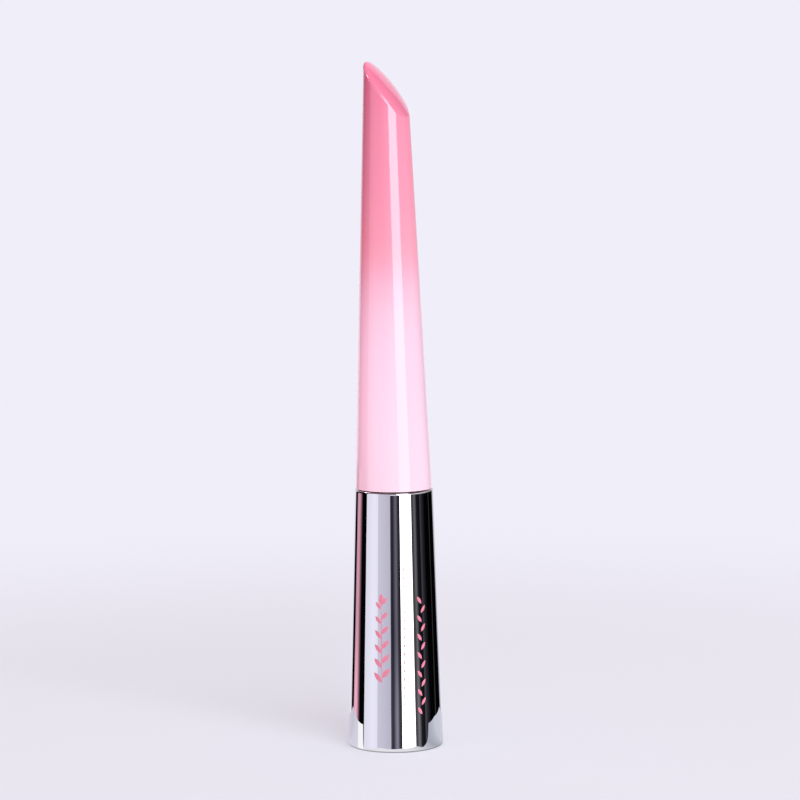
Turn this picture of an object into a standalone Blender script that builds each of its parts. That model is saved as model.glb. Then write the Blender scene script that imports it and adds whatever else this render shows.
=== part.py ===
"""Dip-in liquid eyeliner: a tapered chrome bottle with a long lacquered cap cut off at a slant.

Lengths are in metres. The bottle's axis is +Z, its foot stands on z = 0 and the slanting top of
the cap faces +X. A vial with a threaded neck stands inside the bottle, and the cap carries a
threaded liner, a steel weight and the brush that dips into the ink.
"""

import math

import bmesh
import bpy
from mathutils import Vector

# Fits and mesh fineness
FIT_GAP = 0.0003
CUT_OVERRUN = 0.001
MERGE_DISTANCE = 0.000001
OUTER_SIDES = 48
INNER_SIDES = 36
SLIM_SIDES = 20
CORNER_STEPS = 3
SHARP_ANGLE = math.radians(32)
ROUND_PROFILE_SHARE = 0.5

# Bottle
BOTTLE_HEIGHT = 0.0492
BOTTLE_FOOT_RADIUS = 0.0090
BOTTLE_TOP_RADIUS = 0.00745
BOTTLE_WALL = 0.0012
BOTTLE_SHOULDER = 0.0012
FOOT_ROUNDING = 0.0005
SHOULDER_ROUNDING = 0.00035

# Base plug and its label
PLUG_RECESS = 0.0004
PLUG_PLATE = 0.0016
PLUG_UPSTAND = 0.0022
PLUG_RING_WIDTH = 0.0009
LABEL_RADIUS = 0.0055
LABEL_THICKNESS = 0.0002

# Vial and its neck
VIAL_PLAY = 0.00072
VIAL_WALL = 0.0010
VIAL_FLOOR = 0.0010
VIAL_FOOT_CHAMFER = 0.0006
VIAL_SHOULDER_DROP = 0.0012
NECK_RADIUS = 0.0037
NECK_WALL = 0.0008
NECK_COLLAR_RADIUS = 0.0041
NECK_COLLAR_RISE = 0.0006
NECK_HEIGHT = 0.0113

# Screw thread of the neck and the liner, right-handed
THREAD_PITCH = 0.0030
THREAD_TURNS = 1.5
THREAD_DEPTH = 0.0006
THREAD_ROOT_HEIGHT = 0.0013
THREAD_CREST_HEIGHT = 0.0006
THREAD_START = 0.0020
THREAD_EMBED = 0.0003
THREAD_LEAD_IN_TURNS = 0.08
THREAD_END_DEPTH_SHARE = 0.1
LINER_THREAD_START_TURNS = 0.5

# Cap
SEAM_GAP = 0.00035
CAP_FOOT_RADIUS = 0.00727
CAP_TAPER = 0.0400
CAP_LEAN = 0.0138
CAP_WALL = 0.0010
CAP_FOOT_ROUNDING = 0.0003
CUT_ANGLE = math.radians(51)
CUT_LOW_HEIGHT = 0.1196
CUT_ROUNDING = 0.0010
CUT_ROUNDING_STEPS = 4
CAP_ROOF = 0.0050
CAP_CORE_RADIUS = 0.0024
CAP_CORE_LENGTH = 0.0146

# Liner, washer and weight inside the cap
LINER_SETBACK = 0.0005
LINER_CEILING = 0.0012
WASHER_THICKNESS = 0.0010
WEIGHT_RADIUS = 0.0031
WEIGHT_CHAMFER = 0.0004

# Wiper in the neck
WIPER_FLANGE = 0.0007
WIPER_WALL = 0.0005
WIPER_DEPTH = 0.0060
WIPER_LIP = 0.0005
WIPER_FUNNEL = 0.0016

# Applicator
STEM_RADIUS = 0.0014
STEM_HEAD_RADIUS = 0.0024
STEM_HEAD_THICKNESS = 0.0015
STEM_SPIGOT_RADIUS = 0.0007
STEM_SPIGOT_LENGTH = 0.0022
FERRULE_RADIUS = 0.0013
FERRULE_WALL = 0.0003
FERRULE_LENGTH = 0.0050
TUFT_LENGTH = 0.0065
TUFT_ROOT_LENGTH = 0.0018
TUFT_BELLY_RADIUS = 0.00105
TUFT_TIP_RADIUS = 0.00012
TUFT_STEPS = 6
BRUSH_FLOOR_CLEARANCE = 0.0030

# Ink and its mixing ball
INK_LEVEL = 0.0310
BALL_RADIUS = 0.00125
BALL_TRAVEL = 0.0200
BALL_RINGS = 9

# Heights that the pieces share, worked out from the base upwards
PLUG_TOP = PLUG_RECESS + PLUG_PLATE + PLUG_UPSTAND
VIAL_BASE = PLUG_TOP + FIT_GAP
VIAL_FLOOR_TOP = VIAL_BASE + VIAL_FLOOR
NECK_BASE = BOTTLE_HEIGHT - BOTTLE_SHOULDER - FIT_GAP
NECK_RIM = BOTTLE_HEIGHT + NECK_HEIGHT
NECK_BORE = NECK_RADIUS - NECK_WALL
CAP_FOOT = BOTTLE_HEIGHT + SEAM_GAP
WIPER_BASE = NECK_RIM + FIT_GAP
WASHER_BASE = WIPER_BASE + WIPER_FLANGE + FIT_GAP
LINER_BASE = CAP_FOOT + LINER_SETBACK
LINER_BORE = NECK_RADIUS + THREAD_DEPTH + FIT_GAP
CEILING_BASE = WASHER_BASE + WASHER_THICKNESS + FIT_GAP
CEILING_TOP = CEILING_BASE + LINER_CEILING
HEAD_BASE = CEILING_TOP + FIT_GAP
LINER_TOP = HEAD_BASE + STEM_HEAD_THICKNESS + FIT_GAP
WEIGHT_BASE = LINER_TOP + FIT_GAP
CORE_TOP = CUT_LOW_HEIGHT - CAP_ROOF
CORE_BASE = CORE_TOP - CAP_CORE_LENGTH
WEIGHT_TOP = CORE_BASE - FIT_GAP
STEM_HOLE = STEM_RADIUS + FIT_GAP
TUFT_TIP = VIAL_FLOOR_TOP + BRUSH_FLOOR_CLEARANCE
TUFT_FOOT = TUFT_TIP + TUFT_LENGTH
FERRULE_BASE = TUFT_FOOT + FIT_GAP
FERRULE_TOP = FERRULE_BASE + FERRULE_LENGTH
STEM_END = FERRULE_TOP + FIT_GAP
BALL_CENTRE = VIAL_FLOOR_TOP + FIT_GAP + BALL_RADIUS
BALL_OFFSET = STEM_RADIUS + FIT_GAP + BALL_RADIUS


def bottle_radius(height):
    """Outer radius of the bottle's straight taper."""
    return BOTTLE_FOOT_RADIUS + (BOTTLE_TOP_RADIUS - BOTTLE_FOOT_RADIUS) * height / BOTTLE_HEIGHT


def bottle_bore(height):
    """Inner radius of the bottle, one wall inside its taper."""
    return bottle_radius(height) - BOTTLE_WALL


def vial_radius(height):
    """Outer radius of the vial's body, which runs beside the bottle's bore."""
    return bottle_bore(height) - VIAL_PLAY


def cap_radius(height):
    """Outer radius of the cap's taper, about its leaning centre line."""
    return CAP_FOOT_RADIUS - CAP_TAPER * (height - CAP_FOOT)


def cap_lean(height):
    """How far the cap's centre line has moved towards the tip, along X."""
    return -CAP_LEAN * (height - CAP_FOOT)


def liner_pocket_radius(height):
    """Radius of the cap's bore about +Z that leaves CAP_WALL on its thinnest side."""
    return cap_radius(height) + cap_lean(height) - CAP_WALL


def corner(centre_radius, centre_height, radius, start_degrees, end_degrees):
    """Points of a rounded corner in a turned profile."""
    points = []
    for step in range(CORNER_STEPS + 1):
        turned = math.radians(start_degrees + (end_degrees - start_degrees) * step / CORNER_STEPS)
        points.append((centre_radius + radius * math.cos(turned), centre_height + radius * math.sin(turned)))
    return points


def material(name, colour, roughness, metallic=0.0):
    """A Principled material with one plain colour."""
    made = bpy.data.materials.new(name)
    made.use_nodes = True
    shader = made.node_tree.nodes["Principled BSDF"]
    shader.inputs["Base Color"].default_value = (*colour, 1.0)
    shader.inputs["Roughness"].default_value = roughness
    shader.inputs["Metallic"].default_value = metallic
    made.diffuse_color = (*colour, 1.0)
    return made


def turned_mesh(profile, sides):
    """A bmesh turned about +Z from (radius, height) points; a ring unless the profile ends on the axis."""
    bm = bmesh.new()
    verts = []
    for radius, height in profile:
        verts.append(bm.verts.new((radius, 0.0, height)))
    edges = []
    for first, second in zip(verts, verts[1:]):
        edges.append(bm.edges.new((first, second)))
    if profile[0][0] > 0.0:
        edges.append(bm.edges.new((verts[-1], verts[0])))
    bmesh.ops.spin(
        bm,
        geom=verts + edges,
        cent=(0.0, 0.0, 0.0),
        axis=(0.0, 0.0, 1.0),
        angle=math.tau,
        steps=sides,
        use_merge=True,
    )
    bmesh.ops.remove_doubles(bm, verts=bm.verts, dist=MERGE_DISTANCE)
    bmesh.ops.recalc_face_normals(bm, faces=bm.faces)
    return bm


def add_object(name, bm, finish=None):
    """The bmesh as a named object, shaded smooth between its sharp edges."""
    mesh = bpy.data.meshes.new(name)
    bm.to_mesh(mesh)
    bm.free()
    mesh.shade_smooth()
    mesh.set_sharp_from_angle(angle=SHARP_ANGLE)
    made = bpy.data.objects.new(name, mesh)
    bpy.context.scene.collection.objects.link(made)
    if finish is not None:
        mesh.materials.append(finish)
    return made


def add_helper(target, name, bm, operation):
    """A cutter or an addition for the target, kept out of the model as a wire guide."""
    helper = add_object(name, bm)
    helper.hide_render = True
    helper.display_type = "WIRE"
    boolean = target.modifiers.new(name, "BOOLEAN")
    boolean.operation = operation
    boolean.solver = "EXACT"
    boolean.object = helper
    return helper


def cylinder_mesh(radius, base, top, sides, offset=0.0):
    """A plain upright cylinder, moved by offset along X."""
    bm = turned_mesh([(0.0, base), (radius, base), (radius, top), (0.0, top)], sides)
    bmesh.ops.translate(bm, verts=bm.verts, vec=(offset, 0.0, 0.0))
    return bm


def thread_mesh(root_radius, crest_radius, start_turns):
    """One helical ridge that runs out into its wall at both ends.

    The root is on the wall's side: inside the crest on the neck and outside it in the liner. The
    liner's ridge starts half a turn round, so that it lies midway between the turns of the neck's.
    """
    bm = bmesh.new()
    start_height = BOTTLE_HEIGHT + THREAD_START
    steps = round(THREAD_TURNS * INNER_SIDES)
    ring_before = None
    for step in range(steps + 1):
        turns = step / INNER_SIDES
        run_in = min(1.0, turns / THREAD_LEAD_IN_TURNS, (THREAD_TURNS - turns) / THREAD_LEAD_IN_TURNS)
        depth_share = max(THREAD_END_DEPTH_SHARE, run_in)
        crest = root_radius + (crest_radius - root_radius) * depth_share
        buried = root_radius - math.copysign(THREAD_EMBED, crest_radius - root_radius)
        angle = math.tau * (start_turns + turns)
        middle = start_height + THREAD_PITCH * turns
        outline = [
            (buried, middle - THREAD_ROOT_HEIGHT / 2),
            (root_radius, middle - THREAD_ROOT_HEIGHT / 2),
            (crest, middle - THREAD_CREST_HEIGHT / 2),
            (crest, middle + THREAD_CREST_HEIGHT / 2),
            (root_radius, middle + THREAD_ROOT_HEIGHT / 2),
            (buried, middle + THREAD_ROOT_HEIGHT / 2),
        ]
        ring = []
        for radius, height in outline:
            ring.append(bm.verts.new((radius * math.cos(angle), radius * math.sin(angle), height)))
        if ring_before is None:
            bm.faces.new(ring)
        else:
            for index, vert in enumerate(ring):
                after = (index + 1) % len(ring)
                bm.faces.new((ring_before[index], ring_before[after], ring[after], vert))
        ring_before = ring
    bm.faces.new(list(reversed(ring_before)))
    bmesh.ops.recalc_face_normals(bm, faces=bm.faces)
    return bm


def build_bottle_shell(finish):
    """Chrome outer sleeve: open below for the plug, with a shoulder round the neck's hole."""
    inner_top = BOTTLE_HEIGHT - BOTTLE_SHOULDER
    hole = NECK_COLLAR_RADIUS + FIT_GAP
    foot_centre = bottle_radius(FOOT_ROUNDING) - FOOT_ROUNDING
    shoulder_height = BOTTLE_HEIGHT - SHOULDER_ROUNDING
    shoulder_centre = bottle_radius(shoulder_height) - SHOULDER_ROUNDING
    profile = [(bottle_bore(0.0), 0.0)]
    profile += corner(foot_centre, FOOT_ROUNDING, FOOT_ROUNDING, -90, 0)
    profile += corner(shoulder_centre, shoulder_height, SHOULDER_ROUNDING, 0, 90)
    profile += [(hole, BOTTLE_HEIGHT), (hole, inner_top), (bottle_bore(inner_top), inner_top)]
    add_object("bottle_shell", turned_mesh(profile, OUTER_SIDES), finish)


def build_base_plug(finish):
    """Plug that closes the bottle's foot; its raised ring carries the vial and a recess takes the label."""
    plate_top = PLUG_RECESS + PLUG_PLATE
    label_seat = PLUG_RECESS + LABEL_THICKNESS + FIT_GAP
    recess_radius = LABEL_RADIUS + FIT_GAP
    ring_inner = vial_radius(PLUG_TOP) - VIAL_FOOT_CHAMFER - PLUG_RING_WIDTH
    profile = [
        (0.0, label_seat),
        (recess_radius, label_seat),
        (recess_radius, PLUG_RECESS),
        (bottle_bore(PLUG_RECESS) - FIT_GAP, PLUG_RECESS),
        (bottle_bore(PLUG_TOP) - FIT_GAP, PLUG_TOP),
        (ring_inner, PLUG_TOP),
        (ring_inner, plate_top),
        (0.0, plate_top),
    ]
    add_object("base_plug", turned_mesh(profile, INNER_SIDES), finish)


def build_base_label(finish):
    """Blank round sticker in the plug's recess."""
    bm = cylinder_mesh(LABEL_RADIUS, PLUG_RECESS, PLUG_RECESS + LABEL_THICKNESS, INNER_SIDES)
    add_object("base_label", bm, finish)


def build_vial(finish):
    """Inner vial for the ink, with its shoulder under the bottle's and a threaded neck above."""
    body_top = NECK_BASE - VIAL_SHOULDER_DROP
    collar_top = BOTTLE_HEIGHT + NECK_COLLAR_RISE
    profile = [
        (0.0, VIAL_BASE),
        (vial_radius(VIAL_BASE) - VIAL_FOOT_CHAMFER, VIAL_BASE),
        (vial_radius(VIAL_BASE + VIAL_FOOT_CHAMFER), VIAL_BASE + VIAL_FOOT_CHAMFER),
        (vial_radius(body_top), body_top),
        (NECK_COLLAR_RADIUS, NECK_BASE),
        (NECK_COLLAR_RADIUS, collar_top),
        (NECK_RADIUS, collar_top),
        (NECK_RADIUS, NECK_RIM),
        (NECK_BORE, NECK_RIM),
        (NECK_BORE, NECK_BASE - VIAL_WALL),
        (vial_radius(body_top) - VIAL_WALL, body_top - VIAL_WALL),
        (vial_radius(VIAL_FLOOR_TOP) - VIAL_WALL, VIAL_FLOOR_TOP),
        (0.0, VIAL_FLOOR_TOP),
    ]
    vial = add_object("vial", turned_mesh(profile, INNER_SIDES), finish)
    ridge = thread_mesh(NECK_RADIUS, NECK_RADIUS + THREAD_DEPTH, 0.0)
    add_helper(vial, "neck_thread_guide", ridge, "UNION")


def build_wiper(finish):
    """Soft insert in the neck whose narrow mouth strips spare ink off the stem."""
    sleeve = NECK_BORE - FIT_GAP
    lip_base = WIPER_BASE - WIPER_DEPTH
    funnel_base = lip_base + WIPER_LIP
    flange_top = WIPER_BASE + WIPER_FLANGE
    profile = [
        (STEM_HOLE, lip_base),
        (sleeve, lip_base),
        (sleeve, WIPER_BASE),
        (NECK_RADIUS, WIPER_BASE),
        (NECK_RADIUS, flange_top),
        (sleeve - WIPER_WALL, flange_top),
        (sleeve - WIPER_WALL, funnel_base + WIPER_FUNNEL),
        (STEM_HOLE, funnel_base),
    ]
    add_object("wiper", turned_mesh(profile, INNER_SIDES), finish)


def build_ink(finish):
    """Ink in the vial, leaving free the room in which the wand and the ball travel."""
    base = VIAL_FLOOR_TOP + FIT_GAP
    wall = VIAL_WALL + FIT_GAP
    level = VIAL_FLOOR_TOP + INK_LEVEL
    profile = [
        (0.0, base),
        (vial_radius(base) - wall, base),
        (vial_radius(level) - wall, level),
        (0.0, level),
    ]
    ink = add_object("ink_fill", turned_mesh(profile, INNER_SIDES), finish)
    wand_way = cylinder_mesh(STEM_HOLE, TUFT_TIP - FIT_GAP, level + CUT_OVERRUN, SLIM_SIDES)
    add_helper(ink, "wand_way_cutter", wand_way, "DIFFERENCE")
    ball_way_top = BALL_CENTRE + BALL_TRAVEL + BALL_RADIUS + FIT_GAP
    ball_way_radius = BALL_RADIUS + FIT_GAP
    ball_way = cylinder_mesh(ball_way_radius, base - CUT_OVERRUN, ball_way_top, SLIM_SIDES, BALL_OFFSET)
    add_helper(ink, "ball_way_cutter", ball_way, "DIFFERENCE")


def build_mixing_ball(finish):
    """Steel ball that stirs the ink when the bottle is shaken."""
    bm = bmesh.new()
    bmesh.ops.create_uvsphere(bm, u_segments=SLIM_SIDES, v_segments=BALL_RINGS, radius=BALL_RADIUS)
    ball = add_object("mixing_ball", bm, finish)
    ball.location = (BALL_OFFSET, 0.0, BALL_CENTRE)


def cap_outer_mesh():
    """The cap's leaning taper, cut off at a slant, with the rim of the cut rounded."""
    cut_rise = math.tan(CUT_ANGLE) * 2 * cap_radius(CUT_LOW_HEIGHT)
    blank_top = CUT_LOW_HEIGHT + cut_rise + CUT_OVERRUN
    foot_height = CAP_FOOT + CAP_FOOT_ROUNDING
    profile = [(0.0, CAP_FOOT)]
    profile += corner(cap_radius(foot_height) - CAP_FOOT_ROUNDING, foot_height, CAP_FOOT_ROUNDING, -90, 0)
    profile += [(cap_radius(blank_top), blank_top), (0.0, blank_top)]
    bm = turned_mesh(profile, OUTER_SIDES)
    for vert in bm.verts:
        vert.co.x += cap_lean(vert.co.z)
    low_edge = Vector((cap_radius(CUT_LOW_HEIGHT) + cap_lean(CUT_LOW_HEIGHT), 0.0, CUT_LOW_HEIGHT))
    normal = Vector((math.sin(CUT_ANGLE), 0.0, math.cos(CUT_ANGLE)))
    cut = bmesh.ops.bisect_plane(
        bm,
        geom=bm.verts[:] + bm.edges[:] + bm.faces[:],
        dist=MERGE_DISTANCE,
        plane_co=low_edge,
        plane_no=normal,
        clear_outer=True,
    )
    rim = [item for item in cut["geom_cut"] if isinstance(item, bmesh.types.BMEdge)]
    bmesh.ops.contextual_create(bm, geom=rim)
    bmesh.ops.bevel(
        bm,
        geom=rim,
        offset=CUT_ROUNDING,
        offset_type="OFFSET",
        segments=CUT_ROUNDING_STEPS,
        profile=ROUND_PROFILE_SHARE,
        affect="EDGES",
        clamp_overlap=False,
    )
    bmesh.ops.recalc_face_normals(bm, faces=bm.faces)
    return bm


def build_cap_shell(finish):
    """Lacquered outer cap, bored in steps for the liner, the weight and a cored-out top."""
    cap = add_object("cap_shell", cap_outer_mesh(), finish)
    below = CAP_FOOT - CUT_OVERRUN
    pocket_top = LINER_TOP + FIT_GAP
    weight_pocket = WEIGHT_RADIUS + FIT_GAP
    profile = [
        (0.0, below),
        (liner_pocket_radius(below), below),
        (liner_pocket_radius(pocket_top), pocket_top),
        (weight_pocket, pocket_top),
        (weight_pocket, CORE_BASE),
        (CAP_CORE_RADIUS, CORE_BASE),
        (CAP_CORE_RADIUS, CORE_TOP),
        (0.0, CORE_TOP),
    ]
    add_helper(cap, "cap_bore_cutter", turned_mesh(profile, INNER_SIDES), "DIFFERENCE")


def build_cap_liner(finish):
    """Threaded liner fixed in the cap: its ceiling holds the stem's head and presses the washer."""
    head_pocket = STEM_HEAD_RADIUS + FIT_GAP
    profile = [
        (LINER_BORE, LINER_BASE),
        (liner_pocket_radius(LINER_BASE) - FIT_GAP, LINER_BASE),
        (liner_pocket_radius(LINER_TOP) - FIT_GAP, LINER_TOP),
        (head_pocket, LINER_TOP),
        (head_pocket, CEILING_TOP),
        (STEM_HOLE, CEILING_TOP),
        (STEM_HOLE, CEILING_BASE),
        (LINER_BORE, CEILING_BASE),
    ]
    liner = add_object("cap_liner", turned_mesh(profile, INNER_SIDES), finish)
    ridge = thread_mesh(LINER_BORE, LINER_BORE - THREAD_DEPTH, LINER_THREAD_START_TURNS)
    add_helper(liner, "liner_thread_guide", ridge, "UNION")


def build_sealing_washer(finish):
    """Foam washer between the wiper's flange and the liner's ceiling."""
    washer_radius = LINER_BORE - FIT_GAP
    washer_top = WASHER_BASE + WASHER_THICKNESS
    profile = [
        (STEM_HOLE, WASHER_BASE),
        (washer_radius, WASHER_BASE),
        (washer_radius, washer_top),
        (STEM_HOLE, washer_top),
    ]
    add_object("sealing_washer", turned_mesh(profile, INNER_SIDES), finish)


def build_cap_weight(finish):
    """Round steel slug that makes the cap feel solid; it is free to turn in its pocket."""
    profile = [
        (0.0, WEIGHT_BASE),
        (WEIGHT_RADIUS - WEIGHT_CHAMFER, WEIGHT_BASE),
        (WEIGHT_RADIUS, WEIGHT_BASE + WEIGHT_CHAMFER),
        (WEIGHT_RADIUS, WEIGHT_TOP - WEIGHT_CHAMFER),
        (WEIGHT_RADIUS - WEIGHT_CHAMFER, WEIGHT_TOP),
        (0.0, WEIGHT_TOP),
    ]
    add_object("cap_weight", turned_mesh(profile, INNER_SIDES), finish)


def build_stem(finish):
    """Stem from its head above the liner's ceiling down to a spigot inside the ferrule."""
    spigot_end = STEM_END - STEM_SPIGOT_LENGTH
    head_top = HEAD_BASE + STEM_HEAD_THICKNESS
    profile = [
        (0.0, spigot_end),
        (STEM_SPIGOT_RADIUS, spigot_end),
        (STEM_SPIGOT_RADIUS, STEM_END),
        (STEM_RADIUS, STEM_END),
        (STEM_RADIUS, HEAD_BASE),
        (STEM_HEAD_RADIUS, HEAD_BASE),
        (STEM_HEAD_RADIUS, head_top),
        (0.0, head_top),
    ]
    add_object("applicator_stem", turned_mesh(profile, SLIM_SIDES), finish)


def build_ferrule(finish):
    """Metal tube that joins the tuft to the stem."""
    bore = FERRULE_RADIUS - FERRULE_WALL
    profile = [
        (bore, FERRULE_BASE),
        (FERRULE_RADIUS, FERRULE_BASE),
        (FERRULE_RADIUS, FERRULE_TOP),
        (bore, FERRULE_TOP),
    ]
    add_object("brush_ferrule", turned_mesh(profile, SLIM_SIDES), finish)


def build_tuft(finish):
    """Brush tuft as its plain outer form: a root in the ferrule, a belly and a fine point."""
    root_radius = FERRULE_RADIUS - FERRULE_WALL - FIT_GAP
    root_top = TUFT_FOOT + TUFT_ROOT_LENGTH
    profile = [(0.0, TUFT_TIP)]
    for step in range(TUFT_STEPS + 1):
        rise_share = step / TUFT_STEPS
        swell = math.sin(rise_share * math.pi / 2)
        radius = TUFT_TIP_RADIUS + (TUFT_BELLY_RADIUS - TUFT_TIP_RADIUS) * swell
        profile.append((radius, TUFT_TIP + TUFT_LENGTH * rise_share))
    profile += [(root_radius, TUFT_FOOT), (root_radius, root_top), (0.0, root_top)]
    add_object("brush_tuft", turned_mesh(profile, SLIM_SIDES), finish)


def build():
    """Empties the scene and models every piece in its own finish."""
    for leftover in list(bpy.data.objects):
        bpy.data.objects.remove(leftover)
    white_plastic = material("white_plastic", (0.80, 0.79, 0.78), 0.45)
    black_plastic = material("black_plastic", (0.02, 0.02, 0.022), 0.40)
    steel = material("steel", (0.55, 0.55, 0.56), 0.30, 1.0)
    build_bottle_shell(material("chrome_plate", (0.75, 0.74, 0.76), 0.06, 1.0))
    build_base_plug(material("plug_plastic", (0.10, 0.10, 0.11), 0.40))
    build_base_label(material("label_paper", (0.78, 0.75, 0.77), 0.55))
    build_vial(material("vial_plastic", (0.70, 0.70, 0.72), 0.30))
    build_wiper(material("wiper_rubber", (0.62, 0.62, 0.63), 0.50))
    build_ink(material("ink", (0.006, 0.006, 0.007), 0.08))
    build_mixing_ball(steel)
    build_cap_shell(material("pink_lacquer", (0.90, 0.42, 0.58), 0.12))
    build_cap_liner(white_plastic)
    build_sealing_washer(material("foam", (0.80, 0.80, 0.78), 0.80))
    build_cap_weight(steel)
    build_stem(black_plastic)
    build_ferrule(material("ferrule_metal", (0.70, 0.70, 0.71), 0.20, 1.0))
    build_tuft(material("bristle", (0.012, 0.011, 0.011), 0.50))


build()
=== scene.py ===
"""Look of a dip-in liquid eyeliner: a tapered chrome bottle under a long pink lacquered cap.

Lengths are in metres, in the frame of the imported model: the foot stands on z = 0, +Z runs up the
bottle's axis, and the slanting top of the cap faces +X.
"""

import math
from functools import partialmethod
from types import SimpleNamespace

import bmesh
import bpy
from mathutils import Matrix, Vector


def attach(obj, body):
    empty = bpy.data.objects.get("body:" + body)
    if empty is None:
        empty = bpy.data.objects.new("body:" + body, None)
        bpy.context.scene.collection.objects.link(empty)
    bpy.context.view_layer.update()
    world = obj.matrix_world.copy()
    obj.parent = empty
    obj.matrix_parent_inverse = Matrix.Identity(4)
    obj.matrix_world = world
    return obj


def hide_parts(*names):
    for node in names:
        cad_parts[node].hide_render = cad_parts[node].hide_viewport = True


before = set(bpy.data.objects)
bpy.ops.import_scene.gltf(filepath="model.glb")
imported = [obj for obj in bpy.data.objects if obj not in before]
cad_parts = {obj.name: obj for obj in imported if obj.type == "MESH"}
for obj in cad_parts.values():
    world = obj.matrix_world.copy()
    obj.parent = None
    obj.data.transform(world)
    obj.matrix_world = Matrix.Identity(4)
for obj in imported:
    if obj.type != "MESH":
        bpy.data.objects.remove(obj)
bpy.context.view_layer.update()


# Camera
# It stands a little above the cap's slanting top, to the right of the bottle's front, and looks
# down along the bottle through a long lens, turned a trace clockwise in its mount.

VIEW_BEARING = math.radians(24.4)
VIEW_DISTANCE = 0.6
VIEW_HEIGHT = 0.1296
VIEW_SIDESTEP = 0.00129
VIEW_TILT = 0.10556
VIEW_LEAN = 0.0083
LENS = 143.543

to_right = Vector((math.cos(VIEW_BEARING), math.sin(VIEW_BEARING), 0.0))
to_back = Vector((-math.sin(VIEW_BEARING), math.cos(VIEW_BEARING), 0.0))
upright = Vector((0.0, 0.0, 1.0))
looking = to_back * math.cos(VIEW_TILT) - upright * math.sin(VIEW_TILT)
above = to_back * math.sin(VIEW_TILT) + upright * math.cos(VIEW_TILT)
frame_right = to_right * math.cos(VIEW_LEAN) - above * math.sin(VIEW_LEAN)
frame_up = to_right * math.sin(VIEW_LEAN) + above * math.cos(VIEW_LEAN)
stand = to_right * VIEW_SIDESTEP - to_back * VIEW_DISTANCE + upright * VIEW_HEIGHT

camera_data = bpy.data.cameras.new("camera")
camera_data.lens = LENS
camera = bpy.data.objects.new("camera", camera_data)
camera.matrix_world = (
    Matrix.Translation(stand) @ Matrix((frame_right, frame_up, -looking)).transposed().to_4x4()
)
bpy.context.scene.collection.objects.link(camera)
bpy.context.scene.camera = camera


# Bottle sleeve
# The outer sleeve of the bottle: moulded with a straight taper, a rounded foot and a shoulder with
# a hole for the neck, then plated with chrome and polished to a mirror.

BOTTLE_HEIGHT = 0.0492
BOTTLE_FOOT_RADIUS = 0.0090
BOTTLE_TOP_RADIUS = 0.00745
BOTTLE_WALL = 0.0012
SHOULDER_BASE = BOTTLE_HEIGHT - 0.0012
FOOT_ROUNDING = 0.0005
SHOULDER_ROUNDING = 0.00035
NECK_HOLE_RADIUS = 0.0044
SLEEVE_SIDES = 192
SMALL_SIDES = 96
MOULD_EDGE = 0.00012
ROUNDING_STEPS = 7
HOLD = 0.00006
MERGE_DISTANCE = 0.000001
SHARP_ANGLE = math.radians(35)
FOOT_WEAR = (0.0001, 0.0005)
PAINTED_CAP_SHADE = (0.04895, 0.04915)


class Wire:
    """One output in a node tree. Sums written on it add Math or Vector Math nodes to that tree."""

    def __init__(self, socket):
        self.socket = socket
        self.bench = Bench(socket.id_data)

    def joined(self, operation, other=None, swapped=False):
        """This wire, with another term if given, through Math, or Vector Math if either is a vector."""
        terms = [self] if other is None else [self, other]
        if swapped:
            terms.reverse()
        vectors = [
            term.socket.type == "VECTOR" if isinstance(term, Wire) else isinstance(term, tuple)
            for term in terms
        ]
        if not any(vectors):
            return self.bench.node("ShaderNodeMath", dict(enumerate(terms)), operation=operation)
        if operation == "MULTIPLY" and not all(vectors):
            vector, factor = terms if vectors[0] else terms[::-1]
            return self.bench.node("ShaderNodeVectorMath", {0: vector, "Scale": factor}, operation="SCALE")
        return self.bench.node("ShaderNodeVectorMath", dict(enumerate(terms)), operation=operation)

    __add__ = partialmethod(joined, "ADD")
    __sub__ = partialmethod(joined, "SUBTRACT")
    __mul__ = partialmethod(joined, "MULTIPLY")
    __truediv__ = partialmethod(joined, "DIVIDE")
    __radd__ = partialmethod(joined, "ADD", swapped=True)
    __rsub__ = partialmethod(joined, "SUBTRACT", swapped=True)
    __rmul__ = partialmethod(joined, "MULTIPLY", swapped=True)
    __rtruediv__ = partialmethod(joined, "DIVIDE", swapped=True)

    def beside(self, name):
        """Another output of the same node."""
        return Wire(self.socket.node.outputs[name])

    def part(self, axis):
        """The X, Y or Z of a vector."""
        return self.bench.node("ShaderNodeSeparateXYZ", {"Vector": self}).beside(axis)

    def rise(self, low, high):
        """A smooth climb from 0 at low to 1 at high."""
        feeds = {"Value": self, "From Min": low, "From Max": high}
        return self.bench.node("ShaderNodeMapRange", feeds, interpolation_type="SMOOTHSTEP")


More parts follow.
